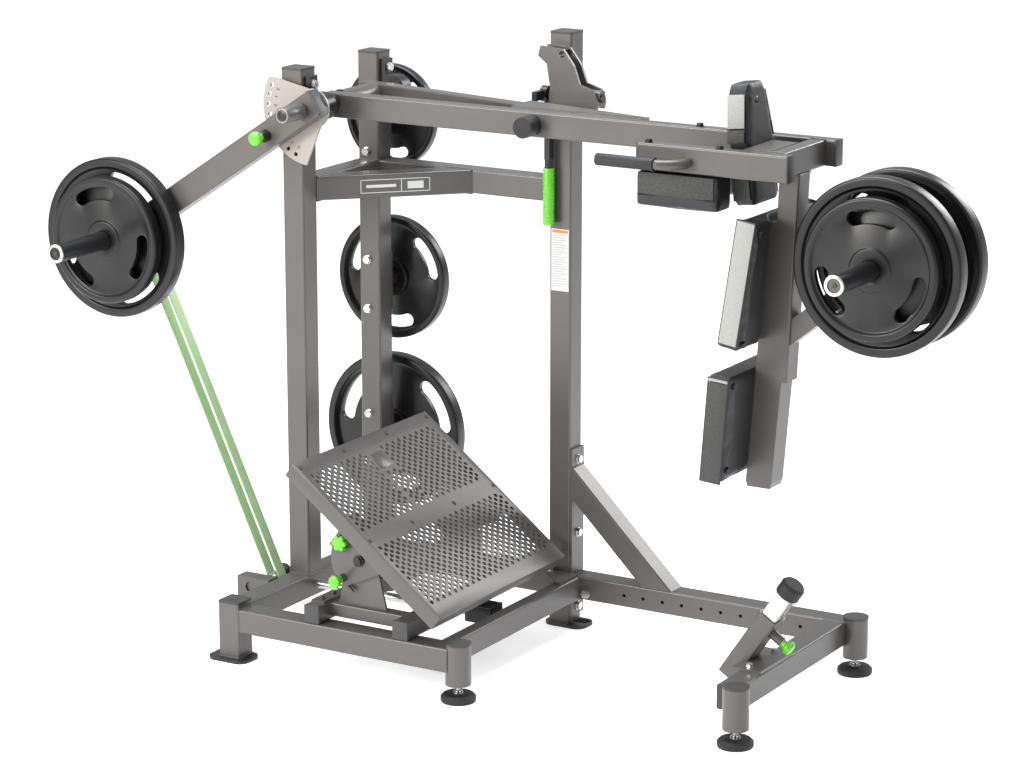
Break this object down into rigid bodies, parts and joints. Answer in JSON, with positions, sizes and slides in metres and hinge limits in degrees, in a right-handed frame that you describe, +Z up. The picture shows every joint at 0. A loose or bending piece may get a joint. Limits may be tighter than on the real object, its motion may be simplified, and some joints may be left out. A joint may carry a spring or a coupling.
{
  "type": "leg press machine",
  "caption": "Plate-loaded lever leg machine: swinging padded arm, counterweight arm with pin selector, sloped foot platform, plate storage tower, adjustable stop",
  "frame": {"origin": "on the floor, on the middle plane of the foot platform and swinging arm, under the outer face of the tower uprights", "axes": "+X from the tower towards the back pads, +Y towards the plate storage side, +Z up"},
  "size_m": [2.7216, 0.999, 1.641],
  "materials": {
    "frame_paint": "semi-gloss metallic graphite powder coat",
    "dark_paint": "satin black",
    "cap_plastic": "matt charcoal",
    "bolt_steel": "bright zinc and chrome",
    "selector_paint": "light warm grey",
    "pad_vinyl": "grained black vinyl with speckled grey end panels",
    "plate_iron": "satin black enamel",
    "knob_plastic": "neon green",
    "bumper_rubber": "matt black",
    "band_rubber": "muted green latex"
  },
  "bodies": {
    "frame": {"corner_post": "frame_paint", "front_floor_beam": "frame_paint", "side_floor_beam": "frame_paint", "back_floor_beam": "frame_paint", "right_floor_beam": "frame_paint", "pivot_upright": "frame_paint", "storage_upright": "frame_paint", "catch_upright": "frame_paint", "upper_side_tube": "frame_paint", "upper_back_tube": "frame_paint", "upper_diagonal_tube": "frame_paint", "round_posts": "frame_paint", "rear_side_beam": "frame_paint", "rear_cross_beam": "frame_paint", "rear_brace": "frame_paint", "frame_caps": "cap_plastic", "frame_bolts": "bolt_steel", "pivot_bearings": "dark_paint", "storage_horns": "dark_paint", "band_anchor": "frame_paint", "catch_bracket": "frame_paint", "guide_rod": "bolt_steel", "stop_post": "frame_paint", "resistance_band": "band_rubber"},
    "swing_arm": {"pivot_shaft": "bolt_steel", "selector_plate": "selector_paint", "swing_boom": "frame_paint", "swing_strut": "frame_paint", "near_shoulder_tube": "frame_paint", "spine_tube": "frame_paint", "horn_bracket": "dark_paint", "arm_grips": "dark_paint", "arm_bolts": "bolt_steel", "head_pad": "pad_vinyl", "shoulder_pads": "pad_vinyl", "upper_back_pad": "pad_vinyl", "lower_back_pad": "pad_vinyl"},
    "weight_arm": {"weight_arm": "frame_paint", "weight_arm_horn": "dark_paint"},
    "weight_pin": {"weight_arm_pin": "knob_plastic"},
    "counter_large": {"counter_large_plate": "plate_iron"},
    "counter_medium": {"counter_medium_plate": "plate_iron"},
    "near_large": {"near_large_plate": "plate_iron"},
    "near_medium": {"near_medium_plate": "plate_iron"},
    "far_large": {"far_large_plate": "plate_iron"},
    "far_medium": {"far_medium_plate": "plate_iron"},
    "storage_top": {"storage_plate_top": "plate_iron"},
    "storage_middle": {"storage_plate_middle": "plate_iron"},
    "storage_low": {"storage_plate_low": "plate_iron"},
    "carriage": {"platform_carriage": "frame_paint"},
    "platform": {"foot_platform": "frame_paint"},
    "tilt_pin": {"platform_pin": "knob_plastic"},
    "platform_lock": {"platform_knob": "knob_plastic"},
    "stop": {"stop_bar": "bolt_steel", "stop_bumper": "bumper_rubber"},
    "stop_lock": {"stop_pin": "knob_plastic"},
    "latch": {"catch_lever": "dark_paint"},
    "foot_front": {"levelling_foot_front": "bumper_rubber"},
    "foot_near": {"levelling_foot_near": "bumper_rubber"},
    "foot_far": {"levelling_foot_far": "bumper_rubber"}
  },
  "joints": [
    {"name": "swing_hinge", "type": "hinge", "parent": "frame", "child": "swing_arm", "pos_m": [0.105, 0, 1.444], "axis": [0, 1, 0], "range_deg": [0, 30], "deforming": ["resistance_band"]},
    {"name": "weight_arm_hinge", "type": "hinge", "parent": "swing_arm", "child": "weight_arm", "pos_m": [0.105, 0, 1.444], "axis": [0, 1, 0], "range_deg": [-33.75, 56.25]},
    {"name": "weight_pin_pull", "type": "slide", "parent": "weight_arm", "child": "weight_pin", "axis": [0, -1, 0], "range_m": [0, 0.018], "stiffness_N_per_m": 900, "springref_m": -0.004},
    {"name": "counter_large_slide", "type": "slide", "parent": "weight_arm", "child": "counter_large", "axis": [0, -1, 0], "range_m": [0, 0.2]},
    {"name": "counter_medium_slide", "type": "slide", "parent": "counter_large", "child": "counter_medium", "axis": [0, -1, 0], "range_m": [0, 0.2]},
    {"name": "near_large_slide", "type": "slide", "parent": "swing_arm", "child": "near_large", "axis": [0, -1, 0], "range_m": [0, 0.18]},
    {"name": "near_medium_slide", "type": "slide", "parent": "near_large", "child": "near_medium", "axis": [0, -1, 0], "range_m": [0, 0.2]},
    {"name": "far_large_slide", "type": "slide", "parent": "swing_arm", "child": "far_large", "axis": [0, 1, 0], "range_m": [0, 0.18]},
    {"name": "far_medium_slide", "type": "slide", "parent": "far_large", "child": "far_medium", "axis": [0, 1, 0], "range_m": [0, 0.2]},
    {"name": "storage_top_slide", "type": "slide", "parent": "frame", "child": "storage_top", "axis": [0, 1, 0], "range_m": [-0.03, 0.14]},
    {"name": "storage_middle_slide", "type": "slide", "parent": "frame", "child": "storage_middle", "axis": [0, 1, 0], "range_m": [-0.03, 0.14]},
    {"name": "storage_low_slide", "type": "slide", "parent": "frame", "child": "storage_low", "axis": [0, 1, 0], "range_m": [-0.03, 0.14]},
    {"name": "carriage_slide", "type": "slide", "parent": "frame", "child": "carriage", "axis": [1, 0, 0], "range_m": [-0.08, 0]},
    {"name": "platform_tilt", "type": "hinge", "parent": "carriage", "child": "platform", "pos_m": [0.425, 0, 0.32], "axis": [0, 1, 0], "range_deg": [-8, 8]},
    {"name": "tilt_pin_pull", "type": "slide", "parent": "platform", "child": "tilt_pin", "axis": [0, -1, 0], "range_m": [0, 0.014], "stiffness_N_per_m": 900, "springref_m": -0.004},
    {"name": "platform_lock_turn", "type": "hinge", "parent": "platform", "child": "platform_lock", "pos_m": [0.373, -0.28, 0.364], "axis": [0, -1, 0], "continuous": true},
    {"name": "stop_height_slide", "type": "slide", "parent": "frame", "child": "stop", "axis": [0.5505, 0, 0.8348], "range_m": [-0.056, 0]},
    {"name": "stop_pin_pull", "type": "slide", "parent": "frame", "child": "stop_lock", "axis": [0.8348, 0, -0.5505], "range_m": [0, 0.018], "stiffness_N_per_m": 900, "springref_m": -0.004},
    {"name": "latch_turn", "type": "hinge", "parent": "frame", "child": "latch", "pos_m": [0.619, 0.3765, 1.476], "axis": [1, 0, 0], "range_deg": [-14, 0]},
    {"name": "foot_front_screw", "type": "hinge", "parent": "frame", "child": "foot_front", "pos_m": [0.741, -0.29, 0.03], "axis": [0, 0, 1], "continuous": true},
    {"name": "foot_near_screw", "type": "hinge", "parent": "frame", "child": "foot_near", "pos_m": [1.508, -0.23, 0.03], "axis": [0, 0, 1], "continuous": true},
    {"name": "foot_far_screw", "type": "hinge", "parent": "frame", "child": "foot_far", "pos_m": [1.525, 0.432, 0.03], "axis": [0, 0, 1], "continuous": true}
  ]
}
